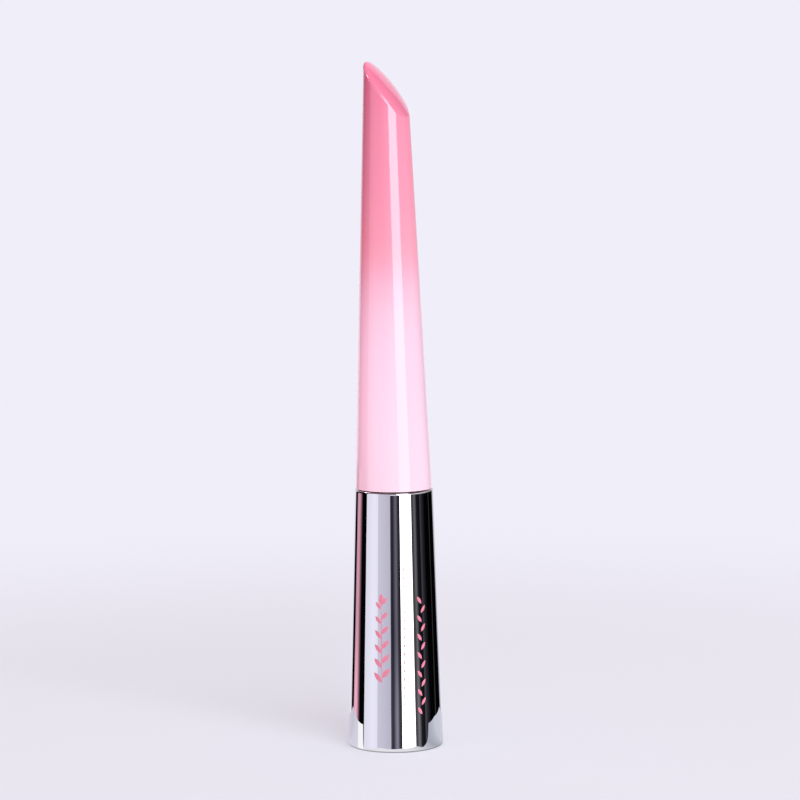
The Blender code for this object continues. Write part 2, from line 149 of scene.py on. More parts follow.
class Bench:
    """A node tree with one way to add a node: its type, what feeds its sockets, and its settings."""

    def __init__(self, tree):
        self.tree = tree

    def node(self, kind, feeds=None, **settings):
        """Adds a node, its settings first, and gives its first live output."""
        made = self.tree.nodes.new(kind)
        for name, setting in settings.items():
            if name == "stops":
                stops = made.color_ramp.elements
                for share, *colour in setting[1:-1]:
                    stops.new(share)
                for stop, (share, *colour) in zip(stops, setting):
                    stop.position = share
                    stop.color = (*colour, 1.0)
            elif name == "cases":
                while len(made.index_switch_items) < setting:
                    made.index_switch_items.new()
            else:
                setattr(made, name, setting)
        sockets = dict(enumerate(made.inputs))
        sockets.update((socket.identifier, socket) for socket in made.inputs)
        for name, feed in (feeds or {}).items():
            self.fill(sockets[name], feed)
        for socket in made.outputs:
            if socket.enabled:
                return Wire(socket)

    def fill(self, socket, feed):
        """Links a wire to a socket, or sets its value."""
        if isinstance(feed, Wire):
            self.tree.links.new(feed.socket, socket)
        else:
            socket.default_value = (*feed, 1.0) if socket.type == "RGBA" else feed

    def vector(self, x, y, z):
        """A vector from three numbers or wires."""
        return self.node("ShaderNodeCombineXYZ", {"X": x, "Y": y, "Z": z})

    def mixed(self, share, first, second):
        """A colour between two, by a share from 0 to 1."""
        feeds = {"Factor_Float": share, "A_Color": first, "B_Color": second}
        return self.node("ShaderNodeMix", feeds, data_type="RGBA")


class Finish(Bench):
    """A material round one Principled shader, whose fixed numbers stand on the shader's own sockets."""

    def __init__(self, name, **fixed):
        self.material = bpy.data.materials.new(name)
        self.material.use_nodes = True
        super().__init__(self.material.node_tree)
        self.place = self.node("ShaderNodeTexCoord").beside("Object")
        self.feed(**fixed)

    def feed(self, **feeds):
        """Fills the shader's sockets, each named as in Blender but in small letters, joined by _."""
        sockets = self.tree.nodes["Principled BSDF"].inputs
        for name, feed in feeds.items():
            self.fill(sockets[name.replace("_", " ").title().replace("Ior", "IOR")], feed)

    def noise(self, grain, detail=3.0, along=1.0, across=1.0):
        """Noise from 0 to 1 with grains of that size, drawn out along or across the bottle's axis."""
        spread = self.place / (grain * across, grain * across, grain * along)
        return self.node("ShaderNodeTexNoise", {"Vector": spread, "Scale": 1.0, "Detail": detail})

    def relief(self, height, depth):
        """A surface raised by up to depth where height is 1."""
        return self.node("ShaderNodeBump", {"Height": height, "Distance": depth})

    def grained(self, pattern, colours, roughness, depth=0.0):
        """Colour and roughness follow a pattern from 0 to 1, and so does the relief if it has depth."""
        start, end = roughness
        self.feed(base_color=self.mixed(pattern, *colours), roughness=start + pattern * (end - start))
        if depth:
            self.feed(normal=self.relief(pattern, depth))


class Shaper(Bench):
    """A Geometry Nodes tree with named inputs, which ends in real geometry with its material set."""

    def __init__(self, name, **sizes):
        super().__init__(bpy.data.node_groups.new(name, "GeometryNodeTree"))
        inputs = {"outline": "Geometry", **sizes, "finish": "Material"}
        for label, size in inputs.items():
            kind = size if isinstance(size, str) else "Int" if isinstance(size, int) else "Float"
            socket = self.tree.interface.new_socket(label, in_out="INPUT", socket_type="NodeSocket" + kind)
            if label in sizes:
                socket.default_value = size
        self.tree.interface.new_socket("piece", in_out="OUTPUT", socket_type="NodeSocketGeometry")
        first = self.node("NodeGroupInput")
        self.given = SimpleNamespace(**{label: first.beside(label) for label in inputs})

    def polar(self, radius, angle, height):
        """A point at an angle round +Z."""
        return self.vector(radius * angle.joined("COSINE"), radius * angle.joined("SINE"), height)

    def moved(self, geometry, spot):
        """The geometry with its points put at that spot."""
        return self.node("GeometryNodeSetPosition", {"Geometry": geometry, "Position": spot})

    def rolled(self, stations):
        """A grid with the outline's points at each station, its stations, and what reads a point's values."""
        outline = self.given.outline
        points = self.node("GeometryNodeAttributeDomainSize", {"Geometry": outline}, component="MESH")
        grid = self.node("GeometryNodeMeshGrid", {"Vertices X": stations, "Vertices Y": points})
        index = self.node("GeometryNodeInputIndex")
        station = (index / points).joined("FLOOR")

        def at_point(kind, value):
            """A value of the outline's own point, for every vertex made from it."""
            feeds = {"Geometry": outline, "Value": value, "Index": index - station * points}
            return self.node("GeometryNodeSampleIndex", feeds, data_type=kind)

        return grid, station, at_point

    def deliver(self, geometry, merging=0.0):
        """Ends the tree. Points nearer than the merging distance become one."""
        if merging:
            geometry = self.node("GeometryNodeMergeByDistance", {"Geometry": geometry, "Distance": merging})
        whole = self.node("GeometryNodeRealizeInstances", {"Geometry": geometry})
        feeds = {"Geometry": whole, "Material": self.given.finish}
        self.node("NodeGroupOutput", {0: self.node("GeometryNodeSetMaterial", feeds)})


def turning_tree():
    """Sweeps the outline's points round +Z: a closed turn for a turned piece, a rising one for a thread."""
    lathe = Shaper(
        "turning", sides=SMALL_SIDES, turns=1.0, pitch=0.0, start_turns=0.0, root_radius=0.0,
        run_out_turns=1.0, end_depth_share=1.0,
    )
    given = lathe.given
    grid, station, at_point = lathe.rolled(given.sides * given.turns + 1.0)
    spot = at_point("FLOAT_VECTOR", lathe.node("GeometryNodeInputPosition"))
    turns = station / given.sides
    nearer_end = turns.joined("MINIMUM", given.turns - turns)
    depth = (nearer_end / given.run_out_turns).joined("MINIMUM", 1.0)
    depth = depth.joined("MAXIMUM", given.end_depth_share)
    radius = given.root_radius + (spot.part("X") - given.root_radius) * depth
    height = spot.part("Z") + turns * given.pitch
    swept = lathe.polar(radius, (turns + given.start_turns) * math.tau, height)
    lathe.deliver(lathe.moved(grid, swept), MERGE_DISTANCE)
    return lathe


def softened(corners, edge=MOULD_EDGE):
    """The outline through (radius, height) corners, each rounded as in a mould, off the axis by edge.

    A corner may name its own rounding. A point is held close on both sides of a rounding, so that
    the long faces beyond shade flat. An outline that starts off the axis is a ring, and comes back
    to where it starts.
    """
    points = []
    for index, (radius, height, *own) in enumerate(corners):
        corner = Vector((radius, height))
        rounding = own[0] if own else edge if radius else 0.0
        if rounding == 0.0:
            points.append(corner)
            continue
        before = (Vector(corners[index - 1][:2]) - corner).normalized()
        after = (Vector(corners[(index + 1) % len(corners)][:2]) - corner).normalized()
        points.append(corner + before * (rounding + HOLD))
        for step in range(ROUNDING_STEPS + 1):
            turned = math.pi / 2 * step / ROUNDING_STEPS
            arriving = before * rounding * (1 - math.sin(turned))
            points.append(corner + arriving + after * rounding * (1 - math.cos(turned)))
        points.append(corner + after * (rounding + HOLD))
    if corners[0][0] > 0.0:
        points.append(points[0])
    return points


def placed(name, points, faces=()):
    """A new object at the origin, of these points and faces."""
    mesh = bpy.data.meshes.new(name)
    mesh.from_pydata(points, [], faces)
    piece = bpy.data.objects.new(name, mesh)
    bpy.context.scene.collection.objects.link(piece)
    return piece


def worked(piece, shaper, finish, **sizes):
    """Puts the piece through a tree and keeps the result as its mesh.

    Open ends are filled, faces point outwards, and it shades smooth between sharp edges.
    """
    modifier = piece.modifiers.new(shaper.tree.name, "NODES")
    modifier.node_group = shaper.tree
    sizes["finish"] = finish.material
    for item in shaper.tree.interface.items_tree:
        if item.name in sizes:
            modifier[item.identifier] = sizes[item.name]
    graph = bpy.context.evaluated_depsgraph_get()
    mesh = bpy.data.meshes.new_from_object(piece.evaluated_get(graph))
    piece.modifiers.clear()
    bm = bmesh.new()
    bm.from_mesh(mesh)
    bmesh.ops.holes_fill(bm, edges=[edge for edge in bm.edges if edge.is_boundary])
    bmesh.ops.recalc_face_normals(bm, faces=bm.faces)
    bm.to_mesh(mesh)
    bm.free()
    mesh.shade_smooth()
    mesh.set_sharp_from_angle(angle=SHARP_ANGLE)
    piece.data = mesh
    return piece


def turned(name, corners, finish, edge=MOULD_EDGE, **sizes):
    """A piece turned about the bottle's axis from its rounded outline."""
    outline = [(radius, 0.0, height) for radius, height in softened(corners, edge)]
    return worked(placed(name, outline), lathe, finish, **sizes)


def fitted(piece, body, node):
    """Puts a finished piece in the place of its CAD node."""
    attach(piece, body)
    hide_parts(node)


def bottle_radius(height):
    """Outer radius of the sleeve's straight taper."""
    return BOTTLE_FOOT_RADIUS + (BOTTLE_TOP_RADIUS - BOTTLE_FOOT_RADIUS) * height / BOTTLE_HEIGHT


def bottle_bore(height):
    """Inner radius of the sleeve."""
    return bottle_radius(height) - BOTTLE_WALL


# Mirror plating over a moulded skin that is not quite true. It is smeared by handling and rubbed at
# the foot's edge. Its top under the cap is painted dark pink: painted shade in the seam, with a painted
# reflection of the cap.
chrome = Finish("chrome_plating", metallic=1.0)
smears = chrome.noise(grain=0.004, along=2.5).rise(0.52, 0.74)
foot_wear = 1.0 - chrome.place.part("Z").rise(*FOOT_WEAR)
rubbed = foot_wear * chrome.noise(grain=0.0007, detail=4.0).rise(0.45, 0.65)
# The shoulder's top is painted dark pink here: painted shade of the seam and a painted reflection of the cap.
cap_shade_painted = chrome.place.part("Z").rise(*PAINTED_CAP_SHADE)
plating_and_cap_shade = chrome.mixed(cap_shade_painted, (0.91, 0.905, 0.925), (0.60, 0.52, 0.52))
chrome.feed(
    base_color=chrome.mixed(rubbed * 0.5, plating_and_cap_shade, (0.72, 0.71, 0.73)),
    roughness=0.012 + smears * 0.02 + rubbed * 0.12,
    normal=chrome.relief(chrome.noise(grain=0.0035, detail=1.0, along=2.2), depth=0.000008),
)

lathe = turning_tree()
sleeve = turned("chrome_sleeve", [
    (bottle_bore(0.0), 0.0),
    (bottle_radius(0.0), 0.0, FOOT_ROUNDING),
    (bottle_radius(BOTTLE_HEIGHT), BOTTLE_HEIGHT, SHOULDER_ROUNDING),
    (NECK_HOLE_RADIUS, BOTTLE_HEIGHT),
    (NECK_HOLE_RADIUS, SHOULDER_BASE),
    (bottle_bore(SHOULDER_BASE), SHOULDER_BASE),
], chrome, sides=SLEEVE_SIDES)
fitted(sleeve, "bottle", "bottle_shell")


# Printed ornament
# A leafy sprig, a dashed line and a trailing vine, pad-printed one above the foot on the sleeve's
# front in pink ink, which stands a hair proud of the plating.

PRINT_BEARING = math.radians(-65.6)
PRINT_THICKNESS = 0.00005
SPRIG_ACROSS = -0.0026
SPRIG_BASE = 0.0119
SPRIG_LENGTH = 0.0172
SPRIG_PAIRS = 6
SPRIG_STALK = 0.00020
SPRIG_LEAF = (0.00095, 0.0024)
SPRIG_TILT = math.radians(40)
FIRST_PAIR = 0.7
TOP_GAP = 0.2
PAIR_STAGGER_SHARE = 0.025
LOW_LEAF_SHARE = 1.05
LEAF_DWINDLING_SHARE = 0.35
DASH_ACROSS = 0.00175
DASH_BASE = 0.0076
DASH_SIZE = (0.00028, 0.0009)
DASH_STEP = 0.0016
DASH_COUNT = 18
VINE_ACROSS = 0.0053
VINE_BASE = 0.0078
VINE_STEP = 0.00175
VINE_COUNT = 13
VINE_LEAF = (0.00062, 0.0017)
VINE_TILT = math.radians(33)
VINE_REACH = 0.00042


def marked(piece, name, kind, values):
    """Gives each of the piece's points a value, or the numbers of a vector."""
    data = piece.data.attributes.new(name, kind, "POINT").data
    data.foreach_set("vector" if kind == "FLOAT_VECTOR" else "value", values)


def print_tree():
    """Pointed leaves laid flat at the outline's points, then wrapped round the sleeve's taper."""
    wrapped = Shaper(
        "wrapped_print", leaf_sides=8, leaf_rings=8, bearing=PRINT_BEARING,
        foot_radius=BOTTLE_FOOT_RADIUS,
        narrowing=(BOTTLE_FOOT_RADIUS - BOTTLE_TOP_RADIUS) / BOTTLE_HEIGHT,
    )
    given = wrapped.given
    place = wrapped.node("GeometryNodeInputPosition")
    feeds = {"Segments": given.leaf_sides, "Rings": given.leaf_rings, "Radius": 0.5}
    leaf = wrapped.node("GeometryNodeMeshUVSphere", feeds)
    along = place.part("Z")
    slimmer = (1.0 - along * along * 4.0).joined("MAXIMUM", 0.0).joined("SQRT")
    pointed = wrapped.vector(place.part("X") * slimmer, place.part("Y") * slimmer, along)
    attribute = "GeometryNodeInputNamedAttribute"
    turn = wrapped.node(attribute, {"Name": "turn"}, data_type="FLOAT")
    leaves = wrapped.node("GeometryNodeInstanceOnPoints", {
        "Points": given.outline,
        "Instance": wrapped.moved(leaf, pointed),
        "Rotation": wrapped.vector(0.0, turn, 0.0),
        "Scale": wrapped.node(attribute, {"Name": "size"}, data_type="FLOAT_VECTOR"),
    })
    flat = wrapped.node("GeometryNodeRealizeInstances", {"Geometry": leaves})
    radius = given.foot_radius - given.narrowing * place.part("Z")
    angle = given.bearing + place.part("X") / radius
    wrapped.deliver(wrapped.moved(flat, wrapped.polar(radius + place.part("Y"), angle, place.part("Z"))))
    return wrapped


printing_ink = Finish("printing_ink", ior=1.5)
ink_body = printing_ink.noise(grain=0.0008)
printing_ink.grained(ink_body, ((0.84, 0.24, 0.37), (0.90, 0.31, 0.44)), roughness=(0.32, 0.44))

marks = [(SPRIG_ACROSS, SPRIG_BASE + SPRIG_LENGTH / 2, 0.0, (SPRIG_STALK, SPRIG_LENGTH))]
for pair in range(SPRIG_PAIRS):
    share = (pair + FIRST_PAIR) / (SPRIG_PAIRS + TOP_GAP)
    width, length = [side * (LOW_LEAF_SHARE - LEAF_DWINDLING_SHARE * share) for side in SPRIG_LEAF]
    for side in (-1, 1):
        tilt = side * SPRIG_TILT
        across = SPRIG_ACROSS + math.sin(tilt) * length / 2
        height = SPRIG_BASE + SPRIG_LENGTH * (share + side * PAIR_STAGGER_SHARE)
        marks.append((across, height + math.cos(tilt) * length / 2, tilt, (width, length)))
marks.append((SPRIG_ACROSS, SPRIG_BASE + SPRIG_LENGTH, 0.0, SPRIG_LEAF))
for dash in range(DASH_COUNT):
    marks.append((DASH_ACROSS, DASH_BASE + dash * DASH_STEP, 0.0, DASH_SIZE))
for leaf in range(VINE_COUNT):
    side = 1 if leaf % 2 else -1
    across = VINE_ACROSS + side * VINE_REACH
    marks.append((across, VINE_BASE + leaf * VINE_STEP, side * VINE_TILT, VINE_LEAF))
sprig = placed("printed_sprig", [(across, 0.0, height) for across, height, turn, size in marks])
marked(sprig, "turn", "FLOAT", [turn for across, height, turn, size in marks])
sides = [(width, PRINT_THICKNESS, length) for across, height, turn, (width, length) in marks]
marked(sprig, "size", "FLOAT_VECTOR", [side for size in sides for side in size])
worked(sprig, print_tree(), printing_ink)
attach(sprig, "bottle")


# Vial and its thread
# The inner bottle that holds the ink, blown in milky plastic. Its foot stands on the base plug, and
# its neck comes up through the shoulder with a collar and a screw thread for the cap.

VIAL_PLAY = 0.00072
VIAL_WALL = 0.0010
VIAL_BASE = 0.0045
VIAL_FLOOR_TOP = 0.0055
VIAL_FOOT_ROUNDING = 0.0006
VIAL_BODY_TOP = 0.0465
NECK_BASE = 0.0477
NECK_RADIUS = 0.0037
NECK_BORE = 0.0029
NECK_RIM = 0.0605
COLLAR_RADIUS = 0.0041
COLLAR_TOP = 0.0498
THREAD_DEPTH = 0.0006
THREAD_ROOT_HEIGHT = 0.0013
THREAD_CREST_HEIGHT = 0.0006
THREAD_START = 0.0512
THREAD_EMBED = 0.0003
THREAD_EDGE = 0.00015
THREAD_SWEEP = {"turns": 1.5, "pitch": 0.0030, "run_out_turns": 0.08, "end_depth_share": 0.1}


def vial_radius(height):
    """Outer radius of the vial's body, which runs beside the sleeve's bore."""
    return bottle_bore(height) - VIAL_PLAY


def thread(name, root, crest, start_turns, finish):
    """A screw ridge whose flanks lean together from its root, buried in the wall, to its crest."""
    buried = root - math.copysign(THREAD_EMBED, crest - root)
    rows = [
        (buried, THREAD_ROOT_HEIGHT, 0.0),
        (root, THREAD_ROOT_HEIGHT, 0.0),
        (crest, THREAD_CREST_HEIGHT, THREAD_EDGE),
    ]
    corners = [(radius, THREAD_START - height / 2, rounding) for radius, height, rounding in rows]
    corners += [(radius, THREAD_START + height / 2, rounding) for radius, height, rounding in rows[::-1]]
    return turned(name, corners, finish, root_radius=root, start_turns=start_turns, **THREAD_SWEEP)


def joined(first, second):
    """Two pieces of one moulding as one object."""
    bm = bmesh.new()
    bm.from_mesh(first.data)
    bm.from_mesh(second.data)
    bm.to_mesh(first.data)
    bm.free()
    bpy.data.objects.remove(second)
    return first


# Milky natural plastic, with a mould's fine grain and cloudy flow inside.
milky = Finish("milky_plastic", ior=1.5, subsurface_weight=0.35, subsurface_scale=0.0008)
clouds = milky.noise(grain=0.002, along=2.0)
milky.feed(
    base_color=milky.mixed(clouds, (0.74, 0.75, 0.77), (0.66, 0.67, 0.70)),
    roughness=0.22 + milky.noise(grain=0.0009) * 0.16,
    normal=milky.relief(milky.noise(grain=0.0005, detail=2.0), depth=0.000004),
)

vial = turned("ink_vial", [
    (0.0, VIAL_BASE),
    (vial_radius(VIAL_BASE), VIAL_BASE, VIAL_FOOT_ROUNDING),
    (vial_radius(VIAL_BODY_TOP), VIAL_BODY_TOP, MOULD_EDGE * 3),
    (COLLAR_RADIUS, NECK_BASE),
    (COLLAR_RADIUS, COLLAR_TOP),
    (NECK_RADIUS, COLLAR_TOP),
    (NECK_RADIUS, NECK_RIM),
    (NECK_BORE, NECK_RIM),
    (NECK_BORE, NECK_BASE - VIAL_WALL),
    (vial_radius(VIAL_BODY_TOP) - VIAL_WALL, VIAL_BODY_TOP - VIAL_WALL),
    (vial_radius(VIAL_FLOOR_TOP) - VIAL_WALL, VIAL_FLOOR_TOP, MOULD_EDGE * 3),
    (0.0, VIAL_FLOOR_TOP),
], milky)
neck_thread = thread("neck_thread", NECK_RADIUS, NECK_RADIUS + THREAD_DEPTH, 0.0, milky)
fitted(joined(vial, neck_thread), "bottle", "vial")


# Mixing ball
# A bearing ball of polished steel, loose in the vial, which stirs the ink when the bottle is
# shaken. It rests on the vial's floor beside the brush.

BALL_RADIUS = 0.00125
BALL_OFFSET = 0.00295
BALL_CENTRE = 0.00705
BALL_RINGS = 24

# Ground steel: fine rings of grinding round the axis, with the sheen of a light oil.
steel = Finish("ground_steel", metallic=1.0)
grinding = steel.noise(grain=0.0002, across=40.0)
steel.grained(
    grinding, ((0.60, 0.60, 0.61), (0.50, 0.50, 0.51)), roughness=(0.20, 0.34), depth=0.000002
)

ball_outline = []
for ring in range(BALL_RINGS + 1):
    tilt = math.pi * (ring / BALL_RINGS - 0.5)
    ball_outline.append((BALL_RADIUS * math.cos(tilt), 0.0, BALL_RADIUS * math.sin(tilt)))
ball = worked(placed("steel_ball", ball_outline), lathe, steel, sides=BALL_RINGS * 2)
ball.data.transform(Matrix.Translation((BALL_OFFSET, 0.0, BALL_CENTRE)))
fitted(ball, "ball", "mixing_ball")


# Ink
# The liquid liner in the vial: dense black, wet and glossy. It is the CAD solid with its own
# finish, in which a slow swirl of pigment shows.

ink = Finish("black_ink", ior=1.38, coat_roughness=0.02)
ink_swirl = ink.noise(grain=0.004, detail=4.0)
ink.grained(ink_swirl, ((0.004, 0.004, 0.005), (0.012, 0.011, 0.013)), roughness=(0.04, 0.09))
ink.feed(coat_weight=0.6 + ink_swirl * 0.3)
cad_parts["ink_fill"].data.materials.clear()
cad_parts["ink_fill"].data.materials.append(ink.material)


# Wiper
# A soft insert pushed into the neck, moulded in pale rubbery plastic. Its flange lies on the rim,
# and its narrow mouth strips spare ink off the stem.

WIPER_BASE = 0.0608
WIPER_FLANGE_TOP = 0.0615
WIPER_SLEEVE = 0.0026
WIPER_WALL = 0.0005
WIPER_LIP_BASE = 0.0548
WIPER_FUNNEL_BASE = 0.0553
WIPER_FUNNEL_TOP = 0.0569
WIPER_MOUTH = 0.0017
SOFT_EDGE = 0.00015
THIN_EDGE = 0.0001
FUNNEL_EDGE = 0.0003
WIPER_STAIN = (0.0550, 0.0585)

# A dull rubbery skin, stained by ink down in its funnel.
soft = Finish("wiper_rubber", ior=1.48, subsurface_weight=0.2, subsurface_scale=0.0005)
skin = soft.noise(grain=0.0004)
stain = (1.0 - soft.place.part("Z").rise(*WIPER_STAIN)) * soft.noise(grain=0.0012).rise(0.35, 0.6)
pale = soft.mixed(skin, (0.64, 0.64, 0.66), (0.58, 0.58, 0.60))
soft.feed(
    base_color=soft.mixed(stain, pale, (0.03, 0.03, 0.035)),
    roughness=0.42 + skin * 0.16 - stain * 0.2,
    normal=soft.relief(skin, depth=0.000006),
)

wiper = turned("neck_wiper", [
    (WIPER_MOUTH, WIPER_LIP_BASE, THIN_EDGE),
    (WIPER_SLEEVE, WIPER_LIP_BASE),
    (WIPER_SLEEVE, WIPER_BASE, THIN_EDGE),
    (NECK_RADIUS, WIPER_BASE),
    (NECK_RADIUS, WIPER_FLANGE_TOP),
    (WIPER_SLEEVE - WIPER_WALL, WIPER_FLANGE_TOP, FUNNEL_EDGE),
    (WIPER_SLEEVE - WIPER_WALL, WIPER_FUNNEL_TOP),
    (WIPER_MOUTH, WIPER_FUNNEL_BASE, THIN_EDGE),
], soft, edge=SOFT_EDGE)
fitted(wiper, "bottle", "wiper")


# Base plug
# A black plug pressed into the sleeve's foot. A raised ring inside carries the vial, and a shallow
# recess under it takes the label.

PLUG_RECESS = 0.0004
PLUG_PLATE_TOP = 0.0020
PLUG_TOP = 0.0042
PLUG_FIT = 0.0003
PLUG_RING_INNER = 0.00545
LABEL_SEAT = 0.0009
LABEL_RECESS_RADIUS = 0.0058
GROOVE_OUTER = 0.0067
GROOVE_INNER = GROOVE_OUTER - 0.0003
GROOVE_FLOOR = PLUG_RECESS + 0.00015
PLUG_EDGE = 0.0001
GROOVE_EDGE = 0.00004

# The faint frosted grain of a spark-worn mould.
black = Finish("plug_black", ior=1.5)
frosting = black.noise(grain=0.00018)
black.grained(
    frosting, ((0.085, 0.085, 0.092), (0.11, 0.11, 0.118)), roughness=(0.36, 0.56), depth=0.000008
)

plug = turned("foot_plug", [
    (0.0, LABEL_SEAT),
    (LABEL_RECESS_RADIUS, LABEL_SEAT),
    (LABEL_RECESS_RADIUS, PLUG_RECESS),
    (GROOVE_INNER, PLUG_RECESS, GROOVE_EDGE),
    (GROOVE_INNER, GROOVE_FLOOR, GROOVE_EDGE),
    (GROOVE_OUTER, GROOVE_FLOOR, GROOVE_EDGE),
    (GROOVE_OUTER, PLUG_RECESS, GROOVE_EDGE),
    (bottle_bore(PLUG_RECESS) - PLUG_FIT, PLUG_RECESS),
    (bottle_bore(PLUG_TOP) - PLUG_FIT, PLUG_TOP),
    (PLUG_RING_INNER, PLUG_TOP),
    (PLUG_RING_INNER, PLUG_PLATE_TOP),
    (0.0, PLUG_PLATE_TOP),
], black, edge=PLUG_EDGE)
fitted(plug, "bottle", "base_plug")


# Base label
# A round paper sticker in the plug's recess, left blank but for a thin printed ring, with the soft
# tooth of coated paper.

LABEL_RADIUS = 0.0055
LABEL_BASE = 0.0004
LABEL_TOP = 0.0006
LABEL_EDGE = 0.00005
RING_RADIUS = 0.0047
RING_WIDTH = 0.0002

paper = Finish("label_paper", ior=1.45)
fibres = paper.noise(grain=0.00025, detail=4.0)
from_ring = ((paper.place * (1.0, 1.0, 0.0)).joined("LENGTH") - RING_RADIUS).joined("ABSOLUTE")
printed = 1.0 - from_ring.rise(RING_WIDTH / 2, RING_WIDTH)
sheet = paper.mixed(fibres, (0.82, 0.79, 0.80), (0.76, 0.73, 0.745))
paper.feed(
    base_color=paper.mixed(printed, sheet, (0.70, 0.22, 0.34)),
    roughness=0.5 + fibres * 0.15,
    normal=paper.relief(fibres, depth=0.000004),
)

label = turned("foot_label", [
    (0.0, LABEL_BASE),
    (LABEL_RADIUS, LABEL_BASE),
    (LABEL_RADIUS, LABEL_TOP),
    (0.0, LABEL_TOP),
], paper, edge=LABEL_EDGE)
fitted(label, "bottle", "base_label")


# Sealing washer
# A washer punched from white foam, which the cap's liner presses on the wiper's flange to keep the
# ink from drying.

WASHER_BASE = 0.0618
WASHER_TOP = 0.0628
WASHER_HOLE = 0.0017
WASHER_RADIUS = 0.0043
WASHER_EDGE = 0.0002
CELLS_A_METRE = 7000.0

# Closed-cell foam: small round cells, their hollows darkened with painted shade.
foam = Finish("white_foam", ior=1.4, sheen_weight=0.2)
cells_and_hollow_shade = foam.node("ShaderNodeTexVoronoi", {"Vector": foam.place, "Scale": CELLS_A_METRE})
cells_and_hollow_shade = cells_and_hollow_shade.rise(0.15, 0.6)
foam.grained(cells_and_hollow_shade, ((0.66, 0.66, 0.64), (0.84, 0.84, 0.82)), roughness=(0.75, 0.90), depth=0.00003)

washer = turned("foam_washer", [
    (WASHER_HOLE, WASHER_BASE),
    (WASHER_RADIUS, WASHER_BASE),
    (WASHER_RADIUS, WASHER_TOP),
    (WASHER_HOLE, WASHER_TOP),
], foam, edge=WASHER_EDGE)
fitted(washer, "washer", "sealing_washer")


# Applicator stem
# The brush's stem, moulded in black plastic. Its head is caught above the liner's ceiling, and a
# spigot at its lower end goes into the ferrule.

STEM_SPIGOT_RADIUS = 0.0007
STEM_SPIGOT_END = 0.0184
STEM_RADIUS = 0.0014
STEM_END = 0.0206
STEM_HEAD_RADIUS = 0.0024
STEM_HEAD_BASE = 0.0646
STEM_HEAD_TOP = 0.0661
STEM_WET = (0.030, 0.046)

# Satin black plastic, drawn lengthwise, and wet with ink up to where the wiper strips it.
satin = Finish("stem_black", ior=1.5)
drawn = satin.noise(grain=0.0003, along=12.0)
wet = (1.0 - satin.place.part("Z").rise(*STEM_WET)) * satin.noise(grain=0.003, along=2.0).rise(0.3, 0.55)
satin.feed(
    base_color=satin.mixed(drawn, (0.016, 0.016, 0.018), (0.030, 0.030, 0.033)),
    roughness=0.34 + drawn * 0.12 - wet * 0.26,
    coat_weight=wet * 0.8,
    normal=satin.relief(drawn, depth=0.000003),
)

stem = turned("brush_stem", [
    (0.0, STEM_SPIGOT_END),
    (STEM_SPIGOT_RADIUS, STEM_SPIGOT_END),
    (STEM_SPIGOT_RADIUS, STEM_END),
    (STEM_RADIUS, STEM_END),
    (STEM_RADIUS, STEM_HEAD_BASE),
    (STEM_HEAD_RADIUS, STEM_HEAD_BASE),
    (STEM_HEAD_RADIUS, STEM_HEAD_TOP),
    (0.0, STEM_HEAD_TOP),
], satin)
fitted(stem, "cap", "applicator_stem")


# Ferrule
# A short aluminium tube that holds the tuft on the stem's spigot, spun bright, with two crimped
# grooves rolled round it.

FERRULE_RADIUS = 0.0013
FERRULE_BORE = 0.0010
FERRULE_BASE = 0.0153
FERRULE_TOP = 0.0203
CRIMP_HEIGHTS = (0.0166, 0.0190)
CRIMP_HALF = 0.0003
CRIMP_DEPTH = 0.00012
FERRULE_EDGE = 0.00006

aluminium = Finish("ferrule_aluminium", metallic=1.0)
spun = aluminium.noise(grain=0.00012, detail=2.0, across=30.0)
aluminium.grained(
    spun, ((0.80, 0.80, 0.81), (0.68, 0.68, 0.70)), roughness=(0.14, 0.28), depth=0.0000015
)

ferrule_corners = [(FERRULE_BORE, FERRULE_BASE), (FERRULE_RADIUS, FERRULE_BASE)]
for crimp in CRIMP_HEIGHTS:
    ferrule_corners += [
        (FERRULE_RADIUS, crimp - CRIMP_HALF),
        (FERRULE_RADIUS - CRIMP_DEPTH, crimp),
        (FERRULE_RADIUS, crimp + CRIMP_HALF),
    ]
ferrule_corners += [(FERRULE_RADIUS, FERRULE_TOP), (FERRULE_BORE, FERRULE_TOP)]
ferrule = turned("crimped_ferrule", ferrule_corners, aluminium, edge=FERRULE_EDGE)
fitted(ferrule, "cap", "brush_ferrule")


# Brush tuft
# Fine black nylon hairs, packed in the ferrule and trimmed so that the wet bundle comes to one
# point. Each hair is its own tapered strand.

HAIR_SIDES = 5
HAIR_POINTS = 9
SHORTEST_HAIR_SHARE = 0.94
OUTER_TRIM_SHARE = 0.12
BELLY_FROM_ROOT_SHARE = 0.25
CLOSING_FROM_SHARE = 0.2
CLOSING_POWER = 1.6
HAIR_TAPER_SHARE = 0.8
GOLDEN_ANGLE = math.pi * (3 - math.sqrt(5))
HAIR_WET = (0.0105, 0.0145)


